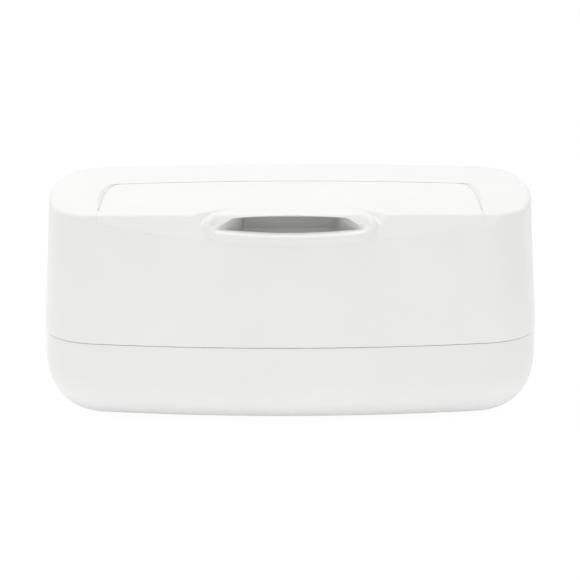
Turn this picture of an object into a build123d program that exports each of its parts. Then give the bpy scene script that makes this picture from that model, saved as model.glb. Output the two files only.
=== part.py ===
"""Wipes box: a base tray, a lift-off housing with a hinged lid, and a weighted press plate.

Millimetres, +Z up, front towards -Y. The origin is on the resting surface, under the centre of the box.
"""
from build123d import *
import math
import os

# Driving dimensions of the box
WIDTH = 234.2
DEPTH = 138.6
HEIGHT = 99.6
SEAM_Z = 38.8
WALL = 2.4
FOOT_HEIGHT = 1.0

# Plan outline: shallow arcs joined by tangent corner arcs, at the seam and at the top
SEAM_LONG_R = 490.0
TOP_FRONT_R = 1400.0
TOP_REAR_R = 600.0
SIDE_R = 190.0
SEAM_CORNER_R = 29.5
TOP_CORNER_R = 25.0
TAPER = 3.15
TAPER_POWER = 1.15
REAR_LEAN = 2.2
BOTTOM_R = 23.0
TOP_EDGE_R = 2.2
HOOD_STEPS = 4

# Front facet: a plane leaning back, whose cut through the bowed wall is the curved smile line
FACET_Y = -61.0
FACET_LEAN = 23.0

# Seam between tray and housing
SEAM_GAP = 0.3
TRAY_STEP = 0.2
TONGUE_GAP = 0.5
TONGUE = 1.6
TONGUE_HEIGHT = 4.0
GASKET = 1.8
LEDGE = 1.6
LEDGE_REACH = 4.0
COLLAR_HEIGHT = 5.0

# Clearances: between pieces that are pressed together, and round a screw's shank
FIT = 0.05
SCREW_FIT = 0.1

# Lid
LID_HALF = 87.3
LID_REAR_Y = 16.9
LID_REAR_R = 480.0
LID_SIDE_R = 186.0
LID_SIDE_Y = -26.0
LID_CORNER_R = 5.5
LID_TOP = 2.2
LID_SKIRT = 2.0
LID_SKIRT_Z = 90.5
LID_GAP = 0.3
SMILE_GAP = 0.2
LID_BEVEL = 1.25
SMILE_Z = 86.3
SMILE_R = 425.0

# Sloping recess in the housing beside the lid: it bows out, so that the side gaps widen between their ends
RECESS_HALF = 89.5
RECESS_SIDE_R = 275.0
RECESS_SIDE_Y = -20.0
RECESS_CORNER_R = 6.5
RECESS_DEPTH = 2.1

# Finger mouth in the lid's front edge
MOUTH_LOW_Z = 92.7
MOUTH_LOW_SAG = 2.0
MOUTH_HIGH_Z = 97.5
MOUTH_HIGH_RISE = 1.0
MOUTH_LOW_HALF = 34.0
MOUTH_HIGH_HALF = 25.7
LIP_EDGE = 1.0
POCKET_Y = -54.5
POCKET_Z = 91.9
POCKET_R = 5.6
POCKET_HALF = 28.0
POCKET_WALL = 1.7
CHAMBER_HALF = 21.0
CHAMBER_Y = -46.6
CHAMBER_Z = 94.2
CHAMBER_R = 3.1
POCKET_DEEP_HALF = 20.0
POCKET_DEEP_Y = -52.0

# Raised rim round the mouth
RIM_R = 2.4
RIM_SINK = 0.9
RIM_HALF = 36.8
RIM_DROP = 12.9
RIM_LOW_R = 300.0
RIM_CORNER_DROP = 9.4
RIM_CORNER_R = 4.0
RIM_END = 34.6
RIM_END_DROP = 2.2
RIM_TAIL = (23.5, -42.0)
RIM_TAIL_SINK = 0.7

# Grooves that run back over the top beside the rim's ends, getting shallower
GROOVE_R = 3.5
GROOVE_FRONT = (42.5, -59.0)
GROOVE_REAR = (25.0, -40.5)
GROOVE_DEPTH = 1.5

# Hinge: the liner's two arms turn on short pins held in ears on the deck
HINGE_Y = 23.0
HINGE_Z = 94.6
ARM_X = 28.0
ARM_WIDTH = 6.0
ARM_GAP = 0.3
ARM_DROP = 7.5
ARM_THICK = 2.5
HUB_R = 2.3
PIN_R = 1.0
EAR = 2.5
EAR_FRONT = 2.9
EAR_TOP = 2.4

# Deck under the lid, with the dispensing opening
DECK_Z = 82.0
DECK_FLOOR = 2.0
DECK_HALF = 91.0
DECK_WALL = 1.8
DECK_REAR_Y = 33.0
DECK_FRONT_RISE = 2.3
DECK_CLEAR = 0.3
FLANGE_Z = 90.0
FLANGE = 2.0
FLANGE_REACH = 8.0
FLANGE_FRONT_Y = -44.0
OPENING_Y = -16.0
OPENING_LENGTH = 110.0
OPENING_WIDTH = 44.0
RIM_WALL = 2.0
RIM_TOP_Z = 86.0
DECK_SCREW_Y = (-38.0, 0.0)
DECK_SCREW_X = (25.0, 75.0)

# Lid liner and seal
LINER_Z = 88.0
LINER = 2.0
LINER_HALF = 82.0
LINER_FRONT_Y = -43.3
LINER_REAR_Y = 8.0
LINER_TONGUE_Y = 13.5
LINER_TONGUE_HALF = 31.0
SEAL_WIDTH = 3.0
SEAL_SINK = 0.6
SEAL_GAP = 0.1
LINER_SCREWS = ((72.0, -38.0), (72.0, -2.0), (9.0, 11.2))

# Soft insert and its clamp ring
INSERT = 1.5
CLAMP = 1.5
SLOT_LENGTH = 58.0
SLOT_WIDTH = 10.0
SLIT_X = (-24.0, -12.0, 0.0, 12.0, 24.0)
SLIT_WIDTH = 1.0
SLIT_REACH = 6.0
INSERT_BORDER = 2.0
CLAMP_BORDER = 11.0
CLAMP_HOLD = 3.0
CLAMP_SCREW_X = 16.0
CLAMP_SCREW_OFF = 6.0
CLAMP_END_OFF = 6.6

# Screws
SCREW_R = 1.4
SCREW_HEAD_R = 2.6
SCREW_HEAD = 1.6
BOSS_R = 3.2

# Press plate
PLATE_INSET = 20.0
PLATE_Z = 4.5
PLATE_HEIGHT = 8.0
PLATE_FLOOR = 1.6
PLATE_SKIN = 1.8
WEIGHT = 3.0
PLATE_OPENING_LENGTH = 104.0
PLATE_OPENING_WIDTH = 38.0
GRIP_X = 72.0
GRIP_WIDTH = 4.0
GRIP_LENGTH = 32.0
GRIP_HEIGHT = 6.0
LEG_Y = 26.0
LEG_R = 3.0

# Low ribs on the tray's floor, under the wipes
FLOOR_RIB = 1.0
FLOOR_RIB_WIDTH = 2.0
FLOOR_RIB_HALF = 75.0
FLOOR_RIB_Y = (-36.0, -12.0, 12.0, 36.0)

# Foot pads
FOOT_R = 6.0
FOOT_THICK = 1.9
FOOT_X = 78.0
FOOT_Y = 30.0


def corner_points(half_w, half_d, long_r, side_r, corner_r):
    """Tangent points and middle of the corner arc between a long arc and a side arc, for +X and +Y."""
    long_centre = Vector(0, half_d - long_r)
    side_centre = Vector(half_w - side_r, 0)
    span = side_centre - long_centre
    reach = span.length
    along = ((long_r - corner_r) ** 2 - (side_r - corner_r) ** 2 + reach**2) / (2 * reach)
    across = math.sqrt((long_r - corner_r) ** 2 - along**2)
    unit = span.normalized()
    centre = long_centre + unit * along + Vector(unit.Y, -unit.X) * across
    to_long = (centre - long_centre).normalized()
    to_side = (centre - side_centre).normalized()
    middle = centre + (to_long + to_side).normalized() * corner_r
    return side_centre + to_side * side_r, middle, long_centre + to_long * long_r


def outline(inset, rise=0.0):
    """Plan face of the box, moved in by inset; rise runs from 0 at the seam to 1 at the top."""
    half_w = WIDTH / 2 - inset
    half_d = DEPTH / 2 - inset
    rear_d = half_d - REAR_LEAN * rise
    corner_r = SEAM_CORNER_R + (TOP_CORNER_R - SEAM_CORNER_R) * rise - inset
    front_r = SEAM_LONG_R + (TOP_FRONT_R - SEAM_LONG_R) * rise - inset
    rear_r = SEAM_LONG_R + (TOP_REAR_R - SEAM_LONG_R) * rise - inset
    side_r = SIDE_R - inset
    f_side, f_mid, f_long = corner_points(half_w, half_d, front_r, side_r, corner_r)
    r_side, r_mid, r_long = corner_points(half_w, rear_d, rear_r, side_r, corner_r)
    edges = [
        ThreePointArc((f_side.X, -f_side.Y), (half_w, 0), (r_side.X, r_side.Y)),
        ThreePointArc((r_side.X, r_side.Y), (r_mid.X, r_mid.Y), (r_long.X, r_long.Y)),
        ThreePointArc((r_long.X, r_long.Y), (0, rear_d), (-r_long.X, r_long.Y)),
        ThreePointArc((-r_long.X, r_long.Y), (-r_mid.X, r_mid.Y), (-r_side.X, r_side.Y)),
        ThreePointArc((-r_side.X, r_side.Y), (-half_w, 0), (-f_side.X, -f_side.Y)),
        ThreePointArc((-f_side.X, -f_side.Y), (-f_mid.X, -f_mid.Y), (-f_long.X, -f_long.Y)),
        ThreePointArc((-f_long.X, -f_long.Y), (0, -half_d), (f_long.X, -f_long.Y)),
        ThreePointArc((f_long.X, -f_long.Y), (f_mid.X, -f_mid.Y), (f_side.X, -f_side.Y)),
    ]
    return make_face(Wire(edges))


def hood(inset, low_z, high_z):
    """Tapered solid of the upper body, moved in by inset, between two heights."""
    sections = []
    for step in range(HOOD_STEPS + 1):
        rise = step / HOOD_STEPS
        z = SEAM_Z + (HEIGHT - SEAM_Z) * rise
        taper = TAPER * (1 - (1 - rise) ** TAPER_POWER)
        sections.append(Pos(0, 0, z) * outline(inset + taper, rise))
    return loft(sections) & box_between(-WIDTH, WIDTH, -DEPTH, DEPTH, low_z, high_z)


def along_x(points, half_length):
    """Prism of a polygon given in Y and Z, centred on X."""
    face = make_face(Polyline(*[(0, y, z) for y, z in points], close=True))
    return extrude(face, half_length, dir=(1, 0, 0), both=True)


def along_y(points, low_y, high_y):
    """Prism of a polygon given in X and Z, between two depths."""
    face = make_face(Polyline(*[(x, low_y, z) for x, z in points], close=True))
    return extrude(face, high_y - low_y, dir=(0, 1, 0))


def box_between(x0, x1, y0, y1, z0, z1):
    """Box given by its limits."""
    return Pos((x0 + x1) / 2, (y0 + y1) / 2, (z0 + z1) / 2) * Box(x1 - x0, y1 - y0, z1 - z0)


def post(x, y, low_z, high_z, radius):
    """Upright cylinder between two heights."""
    return Pos(x, y, (low_z + high_z) / 2) * Cylinder(radius, high_z - low_z)


def stadium(length, width, low_z, high_z):
    """Upright prism with round ends over the dispensing opening."""
    face = Pos(0, OPENING_Y, low_z) * SlotOverall(length, width)
    return extrude(face, high_z - low_z)


def screw(x, y, head_z, tip_z):
    """Screw driven upwards: its head's underside rests at head_z and its point is at tip_z."""
    head = post(x, y, head_z - SCREW_HEAD, head_z, SCREW_HEAD_R)
    socket = post(x, y, head_z - SCREW_HEAD, head_z - SCREW_HEAD / 2, SCREW_R * 0.8)
    return head - socket + post(x, y, head_z, tip_z, SCREW_R)


def front_of_facet(depth=0.0):
    """Everything in front of the facet plane, or of a plane that lies deeper in the wall."""
    slope = math.tan(math.radians(FACET_LEAN))
    y = FACET_Y + depth / math.cos(math.radians(FACET_LEAN))
    above = 6.0
    below = 45.0
    outside = y - 60.0
    points = [
        (y + above * slope, HEIGHT + above),
        (y - below * slope, HEIGHT - below),
        (outside, HEIGHT - below),
        (outside, HEIGHT + above),
    ]
    return along_x(points, WIDTH)


def body_blank():
    """Outer form of housing and lid together, with its facet and rounded top edge."""
    solid = hood(0, SEAM_Z + SEAM_GAP / 2, HEIGHT) - front_of_facet()
    top = solid.faces().sort_by(Axis.Z)[-1]
    return fillet(top.outer_wire().edges(), TOP_EDGE_R)


def body_hollow(thickness, top_thickness):
    """Inside of the upper body, for a given wall and top thickness."""
    inner = hood(thickness, SEAM_Z, HEIGHT - top_thickness)
    return inner - front_of_facet(thickness)


def plan_corner(half, side_r, side_y, corner_r, rear_r, rear_y):
    """Plan face open far past the front: side arcs, corner arcs and a rear arc, all tangent."""
    side_centre = Vector(half - side_r, side_y)
    rear_centre = Vector(0, rear_y - rear_r)
    span = side_centre - rear_centre
    reach = span.length
    along = ((rear_r - corner_r) ** 2 - (side_r - corner_r) ** 2 + reach**2) / (2 * reach)
    across = math.sqrt((rear_r - corner_r) ** 2 - along**2)
    unit = span.normalized()
    turned = Vector(-unit.Y, unit.X)
    options = [rear_centre + unit * along + turned * (sign * across) for sign in (-1, 1)]
    centre = max(options, key=lambda point: point.X)
    to_rear = (centre - rear_centre).normalized()
    to_side = (centre - side_centre).normalized()
    middle = centre + (to_rear + to_side).normalized() * corner_r
    rear_end = rear_centre + to_rear * rear_r
    side_end = side_centre + to_side * side_r
    front_y = -DEPTH / 2 - 10
    return side_end, middle, rear_end, front_y


def mirrored_plan(right, rear_end, rear_y, half, front_y):
    """Closes the right-hand edges with their mirror images, the rear arc and the front line."""
    left = [mirror(edge, Plane.YZ) for edge in right]
    rear = ThreePointArc((rear_end.X, rear_end.Y), (0, rear_y), (-rear_end.X, rear_end.Y))
    front = Line((-half, front_y), (half, front_y))
    edges = [e for part in right + [rear] + left + [front] for e in part.edges()]
    return make_face(Wire(edges))


def lid_plan(grow=0.0, rear_grow=None):
    """Plan face of the lid, open far past the front."""
    half = LID_HALF + grow
    side_r = LID_SIDE_R + grow
    rear = grow if rear_grow is None else rear_grow
    side_end, middle, rear_end, front_y = plan_corner(
        half, side_r, LID_SIDE_Y, LID_CORNER_R + rear, LID_REAR_R + rear, LID_REAR_Y + rear
    )
    turn = math.asin((side_end.Y - LID_SIDE_Y) / side_r) / 2
    bow = (half - side_r * (1 - math.cos(turn)), LID_SIDE_Y + side_r * math.sin(turn))
    right = [
        Line((half, front_y), (half, LID_SIDE_Y)),
        ThreePointArc((half, LID_SIDE_Y), bow, (side_end.X, side_end.Y)),
        ThreePointArc((side_end.X, side_end.Y), (middle.X, middle.Y), (rear_end.X, rear_end.Y)),
    ]
    return mirrored_plan(right, rear_end, LID_REAR_Y + rear, half, front_y)


def recess_plan():
    """Plan face of the recess beside the lid at the top, which shows as the two side gaps."""
    rear_y = LID_REAR_Y + LID_GAP
    side_end, middle, rear_end, front_y = plan_corner(
        RECESS_HALF, RECESS_SIDE_R, RECESS_SIDE_Y, RECESS_CORNER_R, LID_REAR_R + LID_GAP, rear_y
    )
    half = LID_HALF + SMILE_GAP
    start_y = RECESS_SIDE_Y - math.sqrt(RECESS_SIDE_R**2 - (RECESS_SIDE_R - RECESS_HALF + half) ** 2)
    right = [
        Line((half, front_y), (half, start_y)),
        ThreePointArc((half, start_y), (RECESS_HALF, RECESS_SIDE_Y), (side_end.X, side_end.Y)),
        ThreePointArc((side_end.X, side_end.Y), (middle.X, middle.Y), (rear_end.X, rear_end.Y)),
    ]
    return mirrored_plan(right, rear_end, rear_y, half, front_y)


def above_smile(plan, grow):
    """Space over a plan face, down to the arc of the smile line."""
    prism = extrude(Pos(0, 0, SMILE_Z - 5) * plan, HEIGHT - SMILE_Z + 15)
    drum = Pos(0, 0, SMILE_Z + SMILE_R) * Rot(90, 0, 0) * Cylinder(SMILE_R + grow, 3 * DEPTH)
    return prism & drum


def base_tray():
    """Lower shell with its large bottom round, rim tongue, floor ribs and foot recesses."""
    top_z = SEAM_Z - SEAM_GAP / 2
    bottom_z = FOOT_HEIGHT
    floor_z = bottom_z + WALL
    outer = extrude(Pos(0, 0, bottom_z) * outline(TRAY_STEP), top_z - bottom_z)
    outer = fillet(outer.faces().sort_by(Axis.Z)[0].edges(), BOTTOM_R)
    inner = extrude(Pos(0, 0, floor_z) * outline(TRAY_STEP + WALL), top_z - floor_z + 1)
    inner = fillet(inner.faces().sort_by(Axis.Z)[0].edges(), BOTTOM_R - WALL)
    tray = outer - inner
    tongue_out = WALL + TONGUE_GAP
    tongue_in = tongue_out + TONGUE
    collar_z = top_z - COLLAR_HEIGHT
    collar = extrude(Pos(0, 0, collar_z) * (outline(WALL) - outline(tongue_in)), top_z - collar_z)
    tongue = extrude(Pos(0, 0, top_z) * (outline(tongue_out) - outline(tongue_in)), TONGUE_HEIGHT)
    tray = tray + collar + tongue
    rib = FLOOR_RIB_WIDTH / 2
    rib_top = floor_z + FLOOR_RIB
    for y in FLOOR_RIB_Y:
        tray += box_between(-FLOOR_RIB_HALF, FLOOR_RIB_HALF, y - rib, y + rib, floor_z - 0.5, rib_top)
    for x in (-FOOT_X, FOOT_X):
        for y in (-FOOT_Y, FOOT_Y):
            tray -= post(x, y, 0, FOOT_THICK, FOOT_R)
    return tray


def foot_pads():
    """Four soft pads let into the tray's underside."""
    pads = []
    for x in (-FOOT_X, FOOT_X):
        for y in (-FOOT_Y, FOOT_Y):
            pads.append(post(x, y, 0, FOOT_THICK, FOOT_R - FIT))
    return pads


def tongue_top():
    """Height of the top of the tray's tongue."""
    return SEAM_Z - SEAM_GAP / 2 + TONGUE_HEIGHT


def deck_screw_places():
    """Where the deck is screwed up into the housing: along both sides and the rear."""
    side_x = DECK_HALF + FLANGE_REACH / 2
    rear_y = DECK_REAR_Y + FLANGE_REACH / 2
    sides = [(sign * side_x, y) for sign in (-1, 1) for y in DECK_SCREW_Y]
    rear = [(sign * x, rear_y) for sign in (-1, 1) for x in DECK_SCREW_X]
    return sides + rear


def side_recess():
    """Sloping recess beside the lid: from its plan at the top down to the lid's opening."""
    low = Pos(0, 0, HEIGHT - RECESS_DEPTH) * lid_plan(SMILE_GAP, LID_GAP)
    high = Pos(0, 0, HEIGHT) * recess_plan()
    return loft([low, high], ruled=True)


def upper_housing():
    """Upper shell: tapered wall, top with the lid's opening, gasket ledge and screw bosses."""
    shell = body_blank() - body_hollow(WALL, WALL) - above_smile(lid_plan(SMILE_GAP, LID_GAP), SMILE_GAP)
    shell -= side_recess()
    ledge_z = tongue_top() + FIT + GASKET
    ledge = hood(WALL - 0.4, ledge_z, ledge_z + LEDGE)
    ledge -= hood(WALL + LEDGE_REACH, ledge_z - 1, ledge_z + LEDGE + 1)
    shell += ledge
    for x, y in deck_screw_places():
        boss = post(x, y, FLANGE_Z + FLANGE, HEIGHT - WALL + 0.5, BOSS_R)
        shell += boss - post(x, y, FLANGE_Z, HEIGHT - WALL - 1.0, SCREW_R)
    return shell


def housing_gasket():
    """Soft loop under the ledge, pressed by the tray's tongue."""
    low = tongue_top() + FIT
    inner = hood(WALL + LEDGE_REACH - 0.8, low - 1, low + GASKET + 1)
    return hood(WALL + 2 * FIT, low, low + GASKET) - inner


def rim_path():
    """Line of the raised rim under the mouth and up past its ends, on a plane sunk below the facet."""
    lean = math.radians(FACET_LEAN)
    normal = Vector(0, -math.cos(lean), math.sin(lean))
    plane = Plane(origin=Vector(0, FACET_Y, HEIGHT) - normal * RIM_SINK, x_dir=(1, 0, 0), z_dir=normal)
    right = [(RIM_END, -RIM_END_DROP), (RIM_HALF, -RIM_CORNER_DROP)]
    left = [(-x, height) for x, height in right]
    points = [*left, (0, -RIM_DROP), *reversed(right)]
    return plane * FilletPolyline(*points, radius=(RIM_CORNER_R, RIM_LOW_R, RIM_CORNER_R))


def rod(start, end, radius):
    """Cylinder between two points, with a round start."""
    along = Vector(*end) - Vector(*start)
    middle = Vector(*start) + along * 0.5
    plane = Plane(origin=middle, z_dir=along.normalized())
    return plane * Cylinder(radius, along.length) + Pos(*start) * Sphere(radius)


def mouth_rim():
    """Raised round rim round the mouth's ends and lower edge; its ends run back over the top and sink."""
    path = rim_path()
    start = Plane(origin=path @ 0, z_dir=path % 0)
    rim = sweep(start * Circle(RIM_R), path=path)
    for place in (path @ 0, path @ 1):
        side = math.copysign(1, place.X)
        rim += rod(tuple(place), (side * RIM_TAIL[0], RIM_TAIL[1], HEIGHT - RIM_R - RIM_TAIL_SINK), RIM_R)
    return rim


def rim_grooves():
    """Tapered grooves behind the rim's ends: cylinders that rise out of the top towards the rear."""
    front_z = HEIGHT + GROOVE_R - GROOVE_DEPTH
    rear_z = HEIGHT + GROOVE_R
    grooves = []
    for side in (-1, 1):
        start = Vector(side * GROOVE_FRONT[0], GROOVE_FRONT[1], front_z)
        end = Vector(side * GROOVE_REAR[0], GROOVE_REAR[1], rear_z)
        along = end - start
        middle = start + along * 0.35
        plane = Plane(origin=middle, z_dir=along.normalized())
        grooves.append(plane * Cylinder(GROOVE_R, along.length * 1.7))
    return grooves


def capsule(half, y, z, radius):
    """Cylinder along X with round ends."""
    body = Pos(0, y, z) * Rot(0, 90, 0) * Cylinder(radius, 2 * half)
    for x in (-half, half):
        body += Pos(x, y, z) * Sphere(radius)
    return body


def pocket(grow=0.0):
    """Space that the fingertips reach into: a wide trough, and a smaller one behind and above it."""
    front_r = POCKET_R + grow
    rear_r = CHAMBER_R + grow
    run = Vector(CHAMBER_Y - POCKET_Y, CHAMBER_Z - POCKET_Z)
    base = math.atan2(run.Y, run.X)
    spread = math.acos((front_r - rear_r) / run.length)
    corners = []
    for turn in (base - spread, base + spread):
        out = Vector(math.cos(turn), math.sin(turn))
        corners.append((POCKET_Y + front_r * out.X, POCKET_Z + front_r * out.Y))
        corners.append((CHAMBER_Y + rear_r * out.X, CHAMBER_Z + rear_r * out.Y))
    low_front, low_rear, high_front, high_rear = corners
    link = along_x([low_front, low_rear, high_rear, high_front], CHAMBER_HALF)
    front = capsule(POCKET_HALF, POCKET_Y, POCKET_Z, front_r)
    return front + link + capsule(CHAMBER_HALF, CHAMBER_Y, CHAMBER_Z, rear_r)


def pocket_plan(grow=0.0):
    """Prism that the pocket stays within: its ends slope forward, to the mouth's two points."""
    half = POCKET_DEEP_HALF + grow
    corner_y = POCKET_DEEP_Y + grow * math.tan(math.radians(22.5))
    rear_y = CHAMBER_Y + 3 * CHAMBER_R
    front_y = -DEPTH / 2 - 10
    front_half = half + corner_y - front_y
    right = [(half, rear_y), (half, corner_y), (front_half, front_y)]
    left = [(-x, y) for x, y in reversed(right)]
    low_z = POCKET_Z - 3 * POCKET_R
    face = make_face(Polyline(*[(x, y, low_z) for x, y in right + left], close=True))
    return extrude(face, HEIGHT - low_z)


def pocket_wall():
    """Wall round the pocket and behind the mouth's sloping ends."""
    low_z = MOUTH_LOW_Z - MOUTH_LOW_SAG - POCKET_WALL
    half = MOUTH_LOW_HALF + POCKET_WALL
    behind_mouth = box_between(-half, half, -DEPTH / 2, POCKET_Y, low_z, HEIGHT - LID_TOP)
    return (pocket(POCKET_WALL) + behind_mouth) & pocket_plan(POCKET_WALL) & body_hollow(0.5, 0.5)


def mouth_opening():
    """Slot from the front into the pocket: wider below than above, under a thin lip."""
    outside = -DEPTH / 2 - 5
    low_y = MOUTH_LOW_Z - MOUTH_LOW_SAG
    high_y = MOUTH_HIGH_Z + MOUTH_HIGH_RISE
    ceiling = HEIGHT - LID_TOP - 0.2
    side_view = [
        (outside, low_y - 1),
        (POCKET_Y, low_y - 1),
        (POCKET_Y, ceiling),
        (FACET_Y - 0.5, HEIGHT - LIP_EDGE),
        (outside, HEIGHT - LIP_EDGE + 1),
    ]
    front_view = [
        ThreePointArc((-MOUTH_LOW_HALF, MOUTH_LOW_Z), (0, low_y), (MOUTH_LOW_HALF, MOUTH_LOW_Z)),
        Line((MOUTH_LOW_HALF, MOUTH_LOW_Z), (MOUTH_HIGH_HALF, MOUTH_HIGH_Z)),
        ThreePointArc((MOUTH_HIGH_HALF, MOUTH_HIGH_Z), (0, high_y), (-MOUTH_HIGH_HALF, MOUTH_HIGH_Z)),
        Line((-MOUTH_HIGH_HALF, MOUTH_HIGH_Z), (-MOUTH_LOW_HALF, MOUTH_LOW_Z)),
    ]
    plane = Plane(origin=(0, POCKET_Y, 0), x_dir=(1, 0, 0), z_dir=(0, -1, 0))
    face = make_face(Wire([e for part in front_view for e in part.edges()]))
    return along_x(side_view, WIDTH / 2) & extrude(plane * face, POCKET_Y - outside)


def liner_screw_places():
    """Where the liner is screwed up into the lid shell."""
    return [(sign * x, y) for sign in (-1, 1) for x, y in LINER_SCREWS]


def lid_blank():
    """Lid before it is hollowed: its plan down to the smile line, with a bevelled lower rear edge."""
    blank = body_blank() & above_smile(lid_plan(), 0.0)
    top_low = HEIGHT - LID_TOP
    back_half = box_between(-WIDTH / 2, WIDTH / 2, -10, DEPTH / 2, top_low - 1, HEIGHT + 1)
    upper_face = Pos(0, 0, HEIGHT) * lid_plan()
    lower_face = Pos(0, 0, top_low) * lid_plan(-LID_BEVEL)
    bevelled = loft([lower_face, upper_face], ruled=True)
    return blank - (back_half - bevelled)


def lid_shell():
    """Outer shell of the lid: top, side skirts, front apron, finger pocket and screw bosses."""
    shell = lid_blank()
    for groove in rim_grooves():
        shell -= groove
    shell += mouth_rim()
    top_low = HEIGHT - LID_TOP
    inside = extrude(lid_plan(-LID_SKIRT), top_low)
    shell -= body_hollow(LID_TOP, LID_TOP) & inside
    shell -= box_between(-WIDTH / 2, WIDTH / 2, 0, DEPTH / 2, 0, top_low)
    shell -= box_between(-WIDTH / 2, WIDTH / 2, FACET_Y + 12, DEPTH / 2, 0, LID_SKIRT_Z)
    shell += pocket_wall()
    for x, y in liner_screw_places():
        boss = post(x, y, LINER_Z + LINER, top_low + 0.5, BOSS_R)
        shell += boss - post(x, y, LINER_Z, top_low - 1.0, SCREW_R)
    return shell - ((pocket() + mouth_opening()) & pocket_plan())


def hinge_arm(x):
    """L-shaped arm of the liner: it runs back under the housing's edge and up to the pin."""
    low_x = x - ARM_WIDTH / 2
    high_x = x + ARM_WIDTH / 2
    high_z = HINGE_Z - ARM_DROP
    low_z = high_z - ARM_THICK
    root_y = LINER_TONGUE_Y - 4.0
    bar = box_between(low_x, high_x, root_y, HINGE_Y + HUB_R, low_z, high_z)
    root = box_between(low_x, high_x, root_y, LINER_TONGUE_Y, low_z, LINER_Z + LINER / 2)
    neck = box_between(low_x, high_x, HINGE_Y - HUB_R + 0.5, HINGE_Y + HUB_R, low_z, HINGE_Z)
    axle = Pos(x, HINGE_Y, HINGE_Z) * Rot(0, 90, 0)
    hub = axle * Cylinder(HUB_R, ARM_WIDTH)
    return bar + root + neck + hub - axle * Cylinder(PIN_R + FIT, ARM_WIDTH + 1)


def lid_liner():
    """Inner plate of the lid, with the seal's groove and both hinge arms."""
    plate = extrude(
        Pos(0, (LINER_FRONT_Y + LINER_REAR_Y) / 2, LINER_Z)
        * RectangleRounded(2 * LINER_HALF, LINER_REAR_Y - LINER_FRONT_Y, 6.0),
        LINER,
    )
    tongue = LINER_TONGUE_HALF
    plate += box_between(-tongue, tongue, 0, LINER_TONGUE_Y, LINER_Z, LINER_Z + LINER)
    for x, y in liner_screw_places():
        plate += post(x, y, LINER_Z, LINER_Z + LINER, BOSS_R)
    for x, y in liner_screw_places():
        plate -= post(x, y, LINER_Z - 1, LINER_Z + LINER + 1, SCREW_R + SCREW_FIT)
    length = OPENING_LENGTH + RIM_WALL - SEAL_WIDTH
    width = OPENING_WIDTH + RIM_WALL - SEAL_WIDTH
    groove = stadium(length + 2 * SEAL_WIDTH, width + 2 * SEAL_WIDTH, LINER_Z, LINER_Z + SEAL_SINK)
    groove -= stadium(length, width, LINER_Z - 1, LINER_Z + LINER)
    plate -= groove
    return plate + hinge_arm(-ARM_X) + hinge_arm(ARM_X)


def lid_seal():
    """Soft loop under the liner, over the rim of the dispensing opening."""
    length = OPENING_LENGTH + RIM_WALL - SEAL_WIDTH + 2 * FIT
    width = OPENING_WIDTH + RIM_WALL - SEAL_WIDTH + 2 * FIT
    low = RIM_TOP_Z + SEAL_GAP
    high = LINER_Z + SEAL_SINK
    across = 2 * SEAL_WIDTH - 4 * FIT
    return stadium(length + across, width + across, low, high) - stadium(length, width, low - 1, high + 1)


def lid_liner_screws():
    """Six screws through the liner into the lid shell."""
    return [screw(x, y, LINER_Z, HEIGHT - LID_TOP - 2.0) for x, y in liner_screw_places()]


def dispensing_deck():
    """Tub under the lid: floor, walls, screw flange, opening rim and hinge ears."""
    floor_low = DECK_Z - DECK_FLOOR
    wall_top = HEIGHT - WALL - 0.1
    rise_top = DECK_Z + DECK_FRONT_RISE
    whole = hood(WALL + DECK_CLEAR, floor_low, wall_top) - front_of_facet(WALL + DECK_CLEAR)
    whole = whole & box_between(-DECK_HALF, DECK_HALF, -DEPTH, DECK_REAR_Y, floor_low, wall_top)
    inner_half = DECK_HALF - DECK_WALL
    inner_rear = DECK_REAR_Y - DECK_WALL
    lower_room = hood(WALL + DECK_CLEAR + DECK_WALL, DECK_Z, rise_top + 0.5)
    lower_room = lower_room & box_between(-inner_half, inner_half, -DEPTH, inner_rear, DECK_Z, rise_top + 0.5)
    upper_room = box_between(-inner_half, inner_half, -DEPTH, inner_rear, rise_top, HEIGHT)
    tub = whole - lower_room - upper_room
    flange_top = FLANGE_Z + FLANGE
    outer_half = DECK_HALF + FLANGE_REACH
    outer_rear = DECK_REAR_Y + FLANGE_REACH
    flange = box_between(-outer_half, outer_half, FLANGE_FRONT_Y, outer_rear, FLANGE_Z, flange_top)
    hole_half = inner_half + 0.5
    hole_rear = inner_rear + 0.5
    flange -= box_between(-hole_half, hole_half, -DEPTH, hole_rear, FLANGE_Z - 1, flange_top + 1)
    tub += flange
    for x, y in deck_screw_places():
        tub -= post(x, y, FLANGE_Z - 1, flange_top + 1, SCREW_R + SCREW_FIT)
    tub += stadium(OPENING_LENGTH + 2 * RIM_WALL, OPENING_WIDTH + 2 * RIM_WALL, floor_low, RIM_TOP_Z)
    tub -= stadium(OPENING_LENGTH, OPENING_WIDTH, floor_low - 1, RIM_TOP_Z + 1)
    for x in (-ARM_X, ARM_X):
        for side in (-1, 1):
            near = x + side * (ARM_WIDTH / 2 + ARM_GAP)
            far = near + side * EAR
            low_x = min(near, far)
            high_x = max(near, far)
            ear_top = HINGE_Z + EAR_TOP
            tub += box_between(low_x, high_x, HINGE_Y - EAR_FRONT, DECK_REAR_Y - 1, DECK_Z - 1, ear_top)
        axle = Pos(x, HINGE_Y, HINGE_Z) * Rot(0, 90, 0)
        tub -= axle * Cylinder(PIN_R + 0.01, ARM_WIDTH + 2 * (ARM_GAP + EAR) + 1)
    for x, y in clamp_screw_places():
        tub += post(x, y, DECK_Z - 1, RIM_TOP_Z - 0.5, BOSS_R) - post(x, y, 0, RIM_TOP_Z - 1.5, SCREW_R)
        tub -= post(x, y, floor_low - 1, DECK_Z, SCREW_R)
    return tub


def deck_screws():
    """Screws that hold the deck's flange to the housing."""
    return [screw(x, y, FLANGE_Z, HEIGHT - WALL - 2.0) for x, y in deck_screw_places()]


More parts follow.
